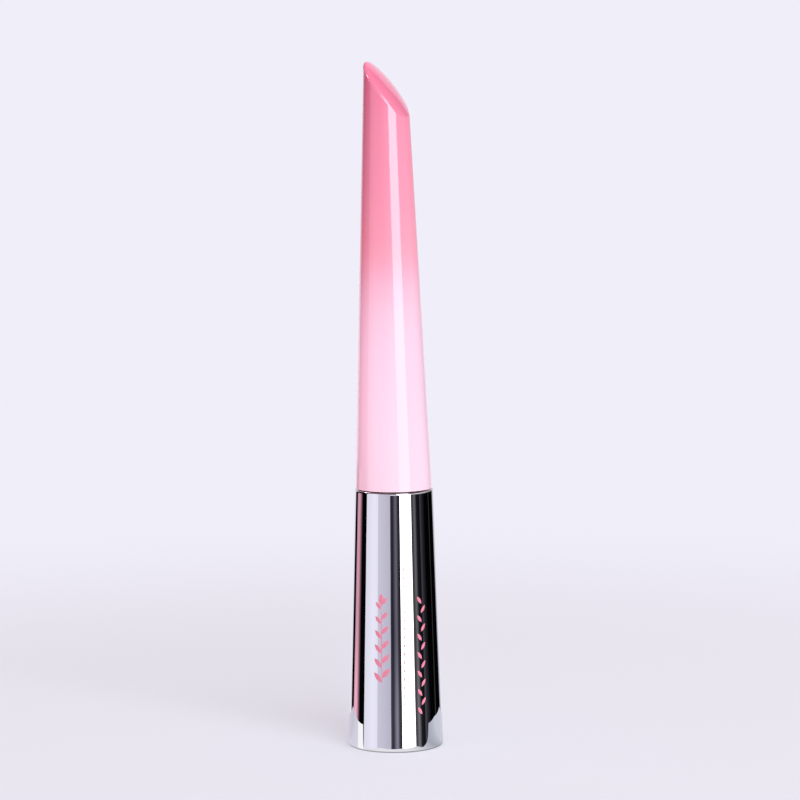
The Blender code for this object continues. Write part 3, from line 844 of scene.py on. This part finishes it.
def tuft_tree():
    """Hairs set round the axis like the seeds of a sunflower, each following the tuft's own form."""
    tuft = Shaper(
        "brush_hairs", count=340, hair_radius=0.000045, root_radius=0.00064, belly_radius=0.00098,
        point_radius=0.00006, top=0.0168, tip=0.0085, seed=7,
    )
    given = tuft.given
    index = tuft.node("GeometryNodeInputIndex")
    out = ((index + 0.5) / given.count).joined("SQRT")
    seat = tuft.polar(out, index * GOLDEN_ANGLE, 0.0)
    seats = tuft.node("GeometryNodePoints", {"Count": given.count, "Position": seat})
    strand = tuft.node("GeometryNodeCurvePrimitiveLine", {"Start": (0, 0, 0), "End": (0, 0, 1)})
    strand = tuft.node("GeometryNodeResampleCurve", {"Curve": strand, "Count": HAIR_POINTS})
    feeds = {"Min_001": SHORTEST_HAIR_SHARE, "Max_001": 1.0, "Seed": given.seed}
    length = tuft.node("FunctionNodeRandomValue", feeds, data_type="FLOAT")
    size = tuft.vector(1.0, 1.0, length - out * out * OUTER_TRIM_SHARE)
    hairs = tuft.node("GeometryNodeInstanceOnPoints", {"Points": seats, "Instance": strand, "Scale": size})
    hairs = tuft.node("GeometryNodeRealizeInstances", {"Geometry": hairs})
    place = tuft.node("GeometryNodeInputPosition")
    along = place.part("Z")
    swell = along.rise(0.0, BELLY_FROM_ROOT_SHARE)
    closing = ((along - CLOSING_FROM_SHARE) / (1.0 - CLOSING_FROM_SHARE)).joined("MAXIMUM", 0.0)
    closing = closing.joined("POWER", CLOSING_POWER)
    spread = given.root_radius + (given.belly_radius - given.root_radius) * swell
    spread = spread + (given.point_radius - spread) * closing
    height = given.top - along * (given.top - given.tip)
    hairs = tuft.moved(hairs, tuft.vector(place.part("X") * spread, place.part("Y") * spread, height))
    fine = given.hair_radius * (1.0 - along * along * HAIR_TAPER_SHARE)
    ring = tuft.node("GeometryNodeCurvePrimitiveCircle", {"Resolution": HAIR_SIDES, "Radius": 1.0})
    feeds = {"Curve": hairs, "Profile Curve": ring, "Scale": fine, "Fill Caps": True}
    tuft.deliver(tuft.node("GeometryNodeCurveToMesh", feeds))
    return tuft


nylon = Finish("brush_nylon", ior=1.53)
streaks = nylon.noise(grain=0.00008, detail=2.0, along=20.0)
hair_wet = 1.0 - nylon.place.part("Z").rise(*HAIR_WET)
nylon.feed(
    base_color=nylon.mixed(streaks, (0.010, 0.009, 0.010), (0.028, 0.026, 0.027)),
    roughness=0.38 + streaks * 0.12 - hair_wet * 0.22,
    coat_weight=hair_wet * 0.7,
)
hairs = worked(placed("brush_hairs", [(0.0, 0.0, 0.0)]), tuft_tree(), nylon)
fitted(hairs, "cap", "brush_tuft")


# Cap liner
# The white inner cap, glued in the lacquered one. It has the screw thread, presses the washer with
# its ceiling, and holds the stem's head in a pocket above.

LINER_BASE = 0.05005
LINER_TOP = 0.0664
LINER_BORE = 0.0046
LINER_FIT = 0.0003
CEILING_BASE = 0.0631
CEILING_TOP = 0.0643
HEAD_POCKET = 0.0027
LINER_THREAD_START_TURNS = 0.5
CAP_FOOT = 0.04955
CAP_FOOT_RADIUS = 0.00727
CAP_TAPER = 0.0400
CAP_LEAN = 0.0138
CAP_WALL = 0.0010


def cap_radius(height):
    """Radius of the cap's outer taper, before it leans."""
    return CAP_FOOT_RADIUS - CAP_TAPER * (height - CAP_FOOT)


def cap_pocket(height):
    """Radius of the cap's pocket for the liner."""
    return cap_radius(height) - CAP_LEAN * (height - CAP_FOOT) - CAP_WALL


# White moulded plastic, slightly warm, with flow marks.
white = Finish("liner_white", ior=1.5, subsurface_weight=0.25, subsurface_scale=0.0006)
flow = white.noise(grain=0.0012, along=3.0)
white.grained(flow, ((0.83, 0.82, 0.81), (0.77, 0.76, 0.755)), roughness=(0.36, 0.50))
white.feed(normal=white.relief(white.noise(grain=0.0003, detail=2.0), depth=0.000003))

liner = turned("thread_liner", [
    (LINER_BORE, LINER_BASE, MOULD_EDGE * 2),
    (cap_pocket(LINER_BASE) - LINER_FIT, LINER_BASE),
    (cap_pocket(LINER_TOP) - LINER_FIT, LINER_TOP),
    (HEAD_POCKET, LINER_TOP),
    (HEAD_POCKET, CEILING_TOP),
    (WASHER_HOLE, CEILING_TOP),
    (WASHER_HOLE, CEILING_BASE),
    (LINER_BORE, CEILING_BASE),
], white)
liner_thread = thread(
    "liner_thread", LINER_BORE, LINER_BORE - THREAD_DEPTH, LINER_THREAD_START_TURNS, white
)
fitted(joined(liner, liner_thread), "cap", "cap_liner")


# Cap weight
# A slug of turned steel with chamfered ends, which gives the cap its heft. It lies loose in the
# bore above the liner, free to turn.

WEIGHT_BASE = 0.0667
WEIGHT_TOP = 0.0997
WEIGHT_RADIUS = 0.0031
WEIGHT_CHAMFER = 0.0004

weight = turned("steel_slug", [
    (0.0, WEIGHT_BASE),
    (WEIGHT_RADIUS, WEIGHT_BASE),
    (WEIGHT_RADIUS, WEIGHT_TOP),
    (0.0, WEIGHT_TOP),
], steel, edge=WEIGHT_CHAMFER)
fitted(weight, "weight", "cap_weight")


# Lacquered cap
# The long outer cap: moulded with a taper that leans a little towards its tip, cut off at a slant,
# then sprayed from deep pink at the top to pale pink at the foot, under a thick clear lacquer.

CAP_RIM_BASE = 0.04937
CAP_FOOT_ROUNDING = 0.00008
CUT_LOW_HEIGHT = 0.11950
WEIGHT_POCKET = 0.0034
POCKET_TOP = 0.0667
CORE_RADIUS = 0.0024
CORE_BASE = 0.1000
CORE_TOP = 0.1146
WALL_RINGS = 40
RIM_RINGS = 14
FACE_RINGS = 16
FACE_CROWDING = 1.5
SPRAY_TOP = 0.130
SPRAY_RED = 0.95
SPRAY = (
    (0.0, 0.745, 0.91), (0.14, 0.735, 0.91), (0.33, 0.675, 0.87), (0.42, 0.61, 0.79),
    (0.47, 0.53, 0.71), (0.515, 0.44, 0.61), (0.55, 0.385, 0.535), (0.59, 0.35, 0.50),
    (0.70, 0.31, 0.47), (0.84, 0.285, 0.445), (1.0, 0.22, 0.39),
)
MIST_REACH = 0.0010
DRIFT_REACH = 0.0022
PLAIN, LEANING, WALL, RIM, FACE = range(5)


def cap_tree():
    """The cap's rule: rings that lean with the taper, stop at the slanting cut and round its rim."""
    cap = Shaper(
        "slant_cap", sides=256, foot_height=CAP_RIM_BASE, foot_radius=cap_radius(CAP_RIM_BASE),
        foot_rounding=CAP_FOOT_ROUNDING, taper=CAP_TAPER, lean=CAP_LEAN, cut_angle=math.radians(51),
        cut_low_height=CUT_LOW_HEIGHT, cut_rounding=0.00055, tip_rounding=0.0010, crown=0.00060,
    )
    given = cap.given
    grid, station, at_point = cap.rolled(given.sides + 1.0)
    spot = at_point("FLOAT_VECTOR", cap.node("GeometryNodeInputPosition"))
    zone = cap.node("GeometryNodeInputNamedAttribute", {"Name": "zone"}, data_type="INT")
    share = spot.part("Y")
    angle = station / given.sides * math.tau
    cosine = angle.joined("COSINE")
    sine = angle.joined("SINE")
    normal = cap.vector(given.cut_angle.joined("SINE"), 0.0, given.cut_angle.joined("COSINE"))
    low_rise = given.cut_low_height - given.foot_height
    low_reach = given.foot_radius - (given.taper + given.lean) * low_rise
    low_edge = cap.vector(low_reach, 0.0, given.cut_low_height)

    def wall_line(along_x, along_y):
        """The foot point and the rising direction of the wall's straight line at one bearing."""
        foot = cap.vector(given.foot_radius * along_x, given.foot_radius * along_y, given.foot_height)
        inwards = -1.0 * (given.taper * along_x + given.lean)
        return foot, cap.vector(inwards, given.taper * -1.0 * along_y, 1.0)

    def cut_point(along_x, along_y):
        """Where that line meets the cut."""
        foot, climb = wall_line(along_x, along_y)
        rise = normal.joined("DOT_PRODUCT", low_edge - foot) / normal.joined("DOT_PRODUCT", climb)
        return foot + climb * rise

    foot, climb = wall_line(cosine, sine)
    edge = cut_point(cosine, sine)
    up_wall = climb.joined("NORMALIZE")
    outward = cap.vector(cosine, sine, given.taper + given.lean * cosine)
    along_rim = normal.joined("CROSS_PRODUCT", outward).joined("NORMALIZE")
    inward = (normal * normal.joined("DOT_PRODUCT", outward) - outward).joined("NORMALIZE")
    tipwards = ((1.0 - cosine) * 0.5).joined("POWER", 2.0)
    rounding = given.cut_rounding + (given.tip_rounding - given.cut_rounding) * tipwards
    slide = rounding / up_wall.joined("CROSS_PRODUCT", along_rim).joined("LENGTH")
    down_wall = up_wall * (slide * -1.0)
    centre = (cut_point(1.0, 0.0) + cut_point(-1.0, 0.0)) * 0.5
    dome_slope = given.crown * 2.0 / (centre - edge).joined("LENGTH")
    in_face = (inward + normal * dome_slope) * rounding
    turn = share * (math.pi / 2)
    rim_point = edge + down_wall * (1.0 - turn.joined("SINE")) + in_face * (1.0 - turn.joined("COSINE"))
    wall_foot = foot + climb * given.foot_rounding
    wall_point = wall_foot + (edge + down_wall - wall_foot) * share
    dome = given.crown * share * (2.0 - share)
    face_foot = edge + in_face
    face_point = face_foot + (centre - face_foot) * share + normal * dome
    ring = cap.vector(spot.part("X") * cosine, spot.part("X") * sine, spot.part("Z"))
    leaning_ring = ring + cap.vector((given.foot_height - spot.part("Z")) * given.lean, 0.0, 0.0)
    places = (ring, leaning_ring, wall_point, rim_point, face_point)
    feeds = {f"Item_{case}": place for case, place in enumerate(places)}
    feeds["Index"] = at_point("INT", zone)
    chosen = cap.node("GeometryNodeIndexSwitch", feeds, data_type="VECTOR", cases=len(places))
    cap.deliver(cap.moved(grid, chosen), MERGE_DISTANCE)
    return cap


# The spray fades down the cap, with a fine mist where it ends.
lacquer = Finish(
    "pink_lacquer", ior=1.5, specular_ior_level=0.2, coat_weight=1.0, coat_roughness=0.015
)
mist = lacquer.noise(grain=0.0009, detail=4.0) - 0.5
drift = lacquer.noise(grain=0.006, detail=1.0) - 0.5
height = lacquer.place.part("Z") + mist * MIST_REACH + drift * DRIFT_REACH
spray = [(share, SPRAY_RED, green, blue) for share, green, blue in SPRAY]
spray_share = (height - CAP_FOOT) / (SPRAY_TOP - CAP_FOOT)
lacquer.feed(
    base_color=lacquer.node("ShaderNodeValToRGB", {"Fac": spray_share}, stops=spray),
    roughness=0.16 + lacquer.noise(grain=0.0015) * 0.06,
    normal=lacquer.relief(lacquer.noise(grain=0.003, detail=1.0, along=2.0), depth=0.000004),
)

cap_rows = [(PLAIN, radius, 0.0, height) for radius, height in softened([
    (0.0, CORE_TOP),
    (CORE_RADIUS, CORE_TOP, MOULD_EDGE * 3),
    (CORE_RADIUS, CORE_BASE),
    (WEIGHT_POCKET, CORE_BASE),
    (WEIGHT_POCKET, POCKET_TOP),
    (cap_pocket(POCKET_TOP), POCKET_TOP),
    (cap_pocket(CAP_RIM_BASE), CAP_RIM_BASE),
    (cap_radius(CAP_RIM_BASE) - CAP_FOOT_ROUNDING, CAP_RIM_BASE, 0.0),
])[:-1]]
for step in range(ROUNDING_STEPS + 1):
    turned_by = math.pi / 2 * step / ROUNDING_STEPS
    corner_height = CAP_RIM_BASE + CAP_FOOT_ROUNDING * (1 - math.cos(turned_by))
    corner_radius = cap_radius(corner_height) - CAP_FOOT_ROUNDING * (1 - math.sin(turned_by))
    cap_rows.append((LEANING, corner_radius, 0.0, corner_height))
held = HOLD / (CUT_LOW_HEIGHT - CAP_RIM_BASE)
wall_shares = [held, *(step / WALL_RINGS for step in range(1, WALL_RINGS)), 1 - held]
rim_shares = [step / RIM_RINGS for step in range(RIM_RINGS + 1)]
face_shares = [(step / FACE_RINGS) ** FACE_CROWDING for step in range(1, FACE_RINGS + 1)]
for zone, shares in ((WALL, wall_shares), (RIM, rim_shares), (FACE, face_shares)):
    cap_rows += [(zone, 0.0, share, 0.0) for share in shares]
cap_shell = placed("lacquered_cap", [row[1:] for row in cap_rows])
marked(cap_shell, "zone", "INT", [row[0] for row in cap_rows])
fitted(worked(cap_shell, cap_tree(), lacquer), "cap", "cap_shell")


# Studio
# A pale seamless floor and backdrop, two soft lamps, two bounces from below, and what the chrome
# and the lacquer mirror: pale walls, black flags, a softbox and a white block under the bottle.

WHITE = (1.0, 1.0, 1.0)
PAPER = (0.871, 0.855, 0.947)
CEILING = (0.11, 0.09, 0.10)
CEILING_FADE = (0.40, 0.65)
AMBIENT = (0.50, 0.41, 0.42)
FLOOR_REACH = 6.0
FLOOR_PLAIN = (0.10, 0.30)
FLOOR_PAINT = (0.835, 0.87, 0.95)
FLOOR_GLOW_SHARE = 0.4
CARD_DISTANCE = 0.110
CARD_BASE = -0.25
FLAG_TOP = 0.043
CARD_TOP = 0.150
HUNG_FLAG_BASE = 0.143
HUNG_FLAG_TOP = 0.420
CARD_STEP = 3
SOFTBOX_FROM = 15.3
SOFTBOX_TO = 48.0
SOFTBOX_TOP = 0.300
SOFTBOX_LEAN_FROM = 0.070
SOFTBOX_LEAN_TO = 0.125
SOFTBOX_LEAN = 5.5
SOFTBOX_RISE = (0.050, 0.125)
SOFTBOX_FADE = (0.170, 0.235)
SOFTBOX_DIM = 2.4
SOFTBOX_BRIGHT = 7.4
SOFTBOX_FADED = 0.4
TIP_GLINT = (-82, -64, 0.186, 0.232)
TIP_GLINT_STRENGTH = 20.0
LEVEL_CARDS = {
    "tip_glint_shelf": (-90, -56, 0.165, 0.070, 0.109, 0.0),
    "shoulder_glint": (-150, -127, 0.141, 0.060, 0.109, 9.0),
    "shoulder_glint_shelf": (-155, -122, 0.131, 0.012, 0.052, 0.0),
}

# Only reflections see these cards. Each has a foot and a top, two heights between which it
# brightens and by how much, and stops, each with a bearing in degrees and a colour in percent.
BLACK = (0.08, 0.08, 0.1)
EVEN = (0.0, 1.0, 0.0)
CARDS = {
    "rear_left_wall": (CARD_BASE, FLAG_TOP, EVEN, [
        (-180, 86, 86, 94), (-151, 85, 84, 92), (-146, 68, 66, 72), (-142.5, 50, 49, 53),
    ]),
    "far_left_flag": (CARD_BASE, FLAG_TOP, EVEN, [(-142.5, *BLACK), (-127, *BLACK)]),
    "pink_sheet": (CARD_BASE, FLAG_TOP, (0.012, -0.01, 0.4), [
        (-127, 42, 22, 28), (-122, 66, 34, 44), (-114, 70, 33, 42), (-110, 48, 24, 32),
        (-107, 28, 15, 20), (-104, 12, 6, 8), (-100, 1, 0.4, 0.6),
    ]),
    "left_flag": (CARD_BASE, FLAG_TOP, EVEN, [(-100, *BLACK), (-83, *BLACK)]),
    "upper_rear_left_wall": (FLAG_TOP, CARD_TOP, EVEN, [
        (-180, 86, 86, 94), (-145, 84, 83, 91), (-137, 62, 60, 65),
    ]),
    "upper_left_flag": (FLAG_TOP, CARD_TOP, EVEN, [(-137, *BLACK), (-83, *BLACK)]),
    "left_wall": (CARD_BASE, CARD_TOP, EVEN, [
        (-83, 78, 77, 88), (-72, 82, 81, 93), (-58, 89, 88, 100), (-45, 84, 83, 96),
    ]),
    "grey_wall": (CARD_BASE, CARD_TOP, EVEN, [(-45, 63, 61, 72), (-31, 59, 57, 70), (-11, 52, 50, 60)]),
    "front_flag": (CARD_BASE, FLAG_TOP, (0.012, -0.01, 0.8), [
        (-11, 4, 3.7, 5), (-5, 1.8, 1.7, 2.7), (-2, 5.5, 5, 7), (2, 12, 12, 16), (5, 14, 13, 17),
        (9, 3.5, 3, 3.8), (15.3, 1.5, 1.1, 1.5),
    ]),
    "right_flag": (CARD_BASE, FLAG_TOP, (0.012, -0.01, 0.3), [
        (48, 5, 4.5, 5), (53, 5.5, 5, 5.5), (58, 15, 14, 16), (61, 9, 9, 10), (65, 1, 1, 1.3),
        (75, 0.4, 0.4, 0.6), (77, 5, 5, 6), (80, 4, 4, 5), (83, 2, 2, 2.6), (90, 0.8, 0.8, 1.1),
        (95, *BLACK), (113, *BLACK), (114, 4.5, 4.3, 4.5), (116, 2, 2, 2), (118, *BLACK), (141, *BLACK),
    ]),
    "right_wall": (FLAG_TOP, HUNG_FLAG_BASE, (0.1, 0.055, -0.9), [
        (48, 100, 98, 100), (86, 100, 98, 100), (102, 80, 78, 80), (117, 45, 44, 45), (130, 50, 49, 50),
        (141, 75, 73, 76),
    ]),
    "hung_flag": (HUNG_FLAG_BASE, HUNG_FLAG_TOP, EVEN, [(52, *BLACK), (90, *BLACK), (143.5, *BLACK)]),
    "rear_right_wall": (CARD_BASE, HUNG_FLAG_BASE, EVEN, [
        (141, 24, 24, 27), (147, 50, 50, 56), (153, 72, 72, 79), (160, 84, 84, 92), (180, 86, 86, 94),
    ]),
    "upper_rear_right_wall": (HUNG_FLAG_BASE, HUNG_FLAG_TOP, EVEN, [
        (143.5, 45, 45, 50), (151, 68, 68, 75), (160, 84, 84, 92), (180, 86, 86, 94),
    ]),
}
# The white block's brightness by bearing: painted light and shade.
BLOCK_PAINTED_SHADING = [
    (-180, 66, 67, 74), (-119, 61, 60, 68), (-104, 69, 68, 78), (-80, 71, 70, 80), (-45, 80, 80, 86),
    (-20, 84, 84, 88), (25, 80, 80, 84), (45, 60, 60, 66), (70, 40, 42, 47), (90, 50, 52, 60),
    (100, 61, 62, 71), (180, 70, 71, 78),
]
GLARE_PAINT = [(-180, 100, 100, 100), (180, 100, 100, 100)]
BLOCK_PIECES = {
    "block": (0.0, BLOCK_PAINTED_SHADING, (
        (-0.0365, -0.0068), (-0.0095, -0.0068), (-0.007, -0.0132), (0.003, -0.0145), (0.0095, -0.0129),
        (0.0098, -0.0092), (0.0166, -0.008), (0.038, -0.0072), (0.041, 0.0085), (0.0345, 0.0296),
        (-0.0394, 0.0285), (-0.041, 0.0165), (-0.0377, 0.0047),
    )),
    "block_glare": (0.00005, GLARE_PAINT, (
        (-0.0073, -0.0053), (-0.0062, -0.0066), (-0.0365, -0.0068), (-0.0377, 0.0047),
    )),
}
# The block is dimmed in a ring round the bottle's foot: a painted contact shadow.
FOOT_SHADE_SHARE = 0.3
FOOT_SHADE = (0.0087, 0.0093)

# Each lamp's bearing, distance, height, the height it aims at, its size, spread, level and tint.
LAMPS = {
    "key_lamp": (27, 1.631, 0.826, 0.065, 1.3, 180, 0.82, (0.94, 1.0, 0.97)),
    "top_lamp": (180, 0.466, 1.804, 0.065, 1.6, 180, 0.20, WHITE),
    "pink_bounce": (-75, 0.12, -0.030, 0.080, 0.02, 30, 0.75, (1.0, 0.52, 0.58)),
    "white_bounce": (115, 0.10, -0.045, 0.065, 0.10, 180, 0.62, (1.0, 0.70, 0.78)),
}


class Glow(Bench):
    """A studio material built from nothing. What a card shows may change with bearing and height."""

    def __init__(self, name, sampling="NONE"):
        self.material = bpy.data.materials.new(name)
        self.material.use_nodes = True
        self.material.cycles.emission_sampling = sampling
        self.material.node_tree.nodes.clear()
        super().__init__(self.material.node_tree)
        self.place = self.node("ShaderNodeTexCoord").beside("Object")

    def along_ring(self, stops):
        """A colour by bearing."""
        first, last = math.radians(stops[0][0]), math.radians(stops[-1][0])
        across = self.place.joined("DOT_PRODUCT", tuple(to_right))
        ahead = self.place.joined("DOT_PRODUCT", tuple(-to_back))
        share = (across.joined("ARCTAN2", ahead) - first) / (last - first)
        ramp = []
        for bearing, *colour in stops:
            ramp.append(((math.radians(bearing) - first) / (last - first), *(part / 100 for part in colour)))
        return self.node("ShaderNodeValToRGB", {"Fac": share}, stops=ramp)

    def shine(self, colour, strength):
        """Sets the light that the card sends out."""
        light = self.node("ShaderNodeEmission", {"Color": colour, "Strength": strength})
        self.node("ShaderNodeOutputMaterial", {"Surface": light})
        return self


def around(bearing, distance, height):
    """A point at a bearing in degrees to the right of the camera, seen from the bottle's axis."""
    turned_by = VIEW_BEARING + math.radians(bearing)
    return Vector((math.sin(turned_by) * distance, -math.cos(turned_by) * distance, height))


def staged(name, points, faces, glow, *hidden):
    """A mesh that belongs to the studio and not to the object, hidden from some kinds of rays."""
    piece = placed(name, points, faces)
    piece.data.materials.append(glow.material)
    for rays in hidden:
        setattr(piece, "visible_" + rays, False)


def card(name, points, faces, glow):
    """A card that only glossy rays see."""
    staged(name, points, faces, glow, "camera", "diffuse", "shadow", "transmission", "volume_scatter")


def ring_card(name, start, end, base, top, glow, lean=0.0):
    """An upright card on an arc round the bottle. Its first edge may lean outwards on its way up."""
    steps = math.ceil((end - start) / CARD_STEP)
    points = []
    for step in range(steps + 1):
        bearing = start + (end - start) * step / steps
        points.append(around(bearing, CARD_DISTANCE, base))
        points.append(around(bearing - lean * (1 - step / steps), CARD_DISTANCE, top))
    card(name, points, [(2 * step, 2 * step + 2, 2 * step + 3, 2 * step + 1) for step in range(steps)], glow)


for name, (base, top, (lift_from, lift_to, lift), stops) in CARDS.items():
    glow = Glow(name)
    glow.shine(glow.along_ring(stops), 1.0 + glow.place.part("Z").rise(lift_from, lift_to) * lift)
    ring_card(name, stops[0][0], stops[-1][0], base, top, glow)

softbox = Glow("softbox")
rise = softbox.place.part("Z").rise(*SOFTBOX_RISE)
fade = softbox.place.part("Z").rise(*SOFTBOX_FADE)
level = SOFTBOX_DIM + rise * (SOFTBOX_BRIGHT - SOFTBOX_DIM) - fade * (SOFTBOX_BRIGHT - SOFTBOX_FADED)
softbox.shine(WHITE, level)
for name, start, base, top, lean in (
    ("softbox_foot", SOFTBOX_FROM, CARD_BASE, SOFTBOX_LEAN_FROM, 0.0),
    ("softbox_middle", SOFTBOX_FROM, SOFTBOX_LEAN_FROM, SOFTBOX_LEAN_TO, SOFTBOX_LEAN),
    ("softbox_head", SOFTBOX_FROM - SOFTBOX_LEAN, SOFTBOX_LEAN_TO, SOFTBOX_TOP, 0.0),
):
    ring_card(name, start, SOFTBOX_TO, base, top, softbox, lean)

ring_card("tip_glint", *TIP_GLINT, Glow("tip_glint").shine(WHITE, TIP_GLINT_STRENGTH))
for name, (start, end, height, inner, outer, strength) in LEVEL_CARDS.items():
    corners = ((start, inner), (end, inner), (end, outer), (start, outer))
    points = [around(bearing, distance, height) for bearing, distance in corners]
    card(name, points, [(0, 1, 2, 3)], Glow(name).shine(WHITE, strength))

for name, (height, paint, corners) in BLOCK_PIECES.items():
    glow = Glow(name)
    # Painted contact shadow round the foot, on top of the block's painted light and shade.
    lit = glow.place.joined("LENGTH").rise(*FOOT_SHADE)
    glow.shine(glow.along_ring(paint), FOOT_SHADE_SHARE + lit * (1.0 - FOOT_SHADE_SHARE))
    points = [to_right * across + to_back * deep + upright * height for across, deep in corners]
    card(name, points, [tuple(range(len(points)))], glow)

floor = Glow("floor", "AUTO")
far = floor.place.joined("LENGTH").rise(*FLOOR_PLAIN)
floor.node("ShaderNodeOutputMaterial", {"Surface": floor.node("ShaderNodeMixShader", {
    0: FLOOR_GLOW_SHARE + far * (1.0 - FLOOR_GLOW_SHARE),
    1: floor.node("ShaderNodeBsdfDiffuse", {"Color": FLOOR_PAINT}),
    2: floor.node("ShaderNodeEmission", {"Color": PAPER, "Strength": 1.0}),
})})
corners = [(x * FLOOR_REACH, y * FLOOR_REACH, 0.0) for x, y in ((-1, -1), (1, -1), (1, 1), (-1, 1))]
staged("floor", corners, [(0, 1, 2, 3)], floor, "diffuse", "glossy", "shadow")

world = bpy.data.worlds.new("studio_air")
bpy.context.scene.world = world
world.use_nodes = True
world.node_tree.nodes.clear()
air = Bench(world.node_tree)
rays = air.node("ShaderNodeLightPath")
mirrored = rays.beside("Is Glossy Ray")
shown = rays.beside("Is Camera Ray").joined("MAXIMUM", rays.beside("Is Transmission Ray"))
upwards = air.node("ShaderNodeTexCoord").beside("Generated").part("Z")
room = air.mixed(upwards.rise(*CEILING_FADE) * mirrored, PAPER, CEILING)
air_light = air.mixed(shown.joined("MAXIMUM", mirrored), AMBIENT, room)
air.node("ShaderNodeOutputWorld", {"Surface": air.node("ShaderNodeBackground", {"Color": air_light})})

for name, (bearing, distance, height, aim_height, size, spread, level, tint) in LAMPS.items():
    place = around(bearing, distance, height)
    aim = place - upright * aim_height
    half_spread = math.radians(spread) / 2
    lamp_data = bpy.data.lights.new(name, "AREA")
    lamp_data.shape = "SQUARE"
    lamp_data.size = size
    lamp_data.color = tint
    lamp_data.spread = half_spread * 2
    gathered = 1 - half_spread / math.tan(half_spread)
    lamp_data.energy = level * math.pi ** 2 * aim.length_squared * gathered
    lamp = bpy.data.objects.new(name, lamp_data)
    lamp.matrix_world = Matrix.Translation(place) @ aim.to_track_quat("Z", "Y").to_matrix().to_4x4()
    lamp.visible_camera = False
    lamp.visible_glossy = False
    bpy.context.scene.collection.objects.link(lamp)

bpy.context.scene.view_settings.view_transform = "Standard"
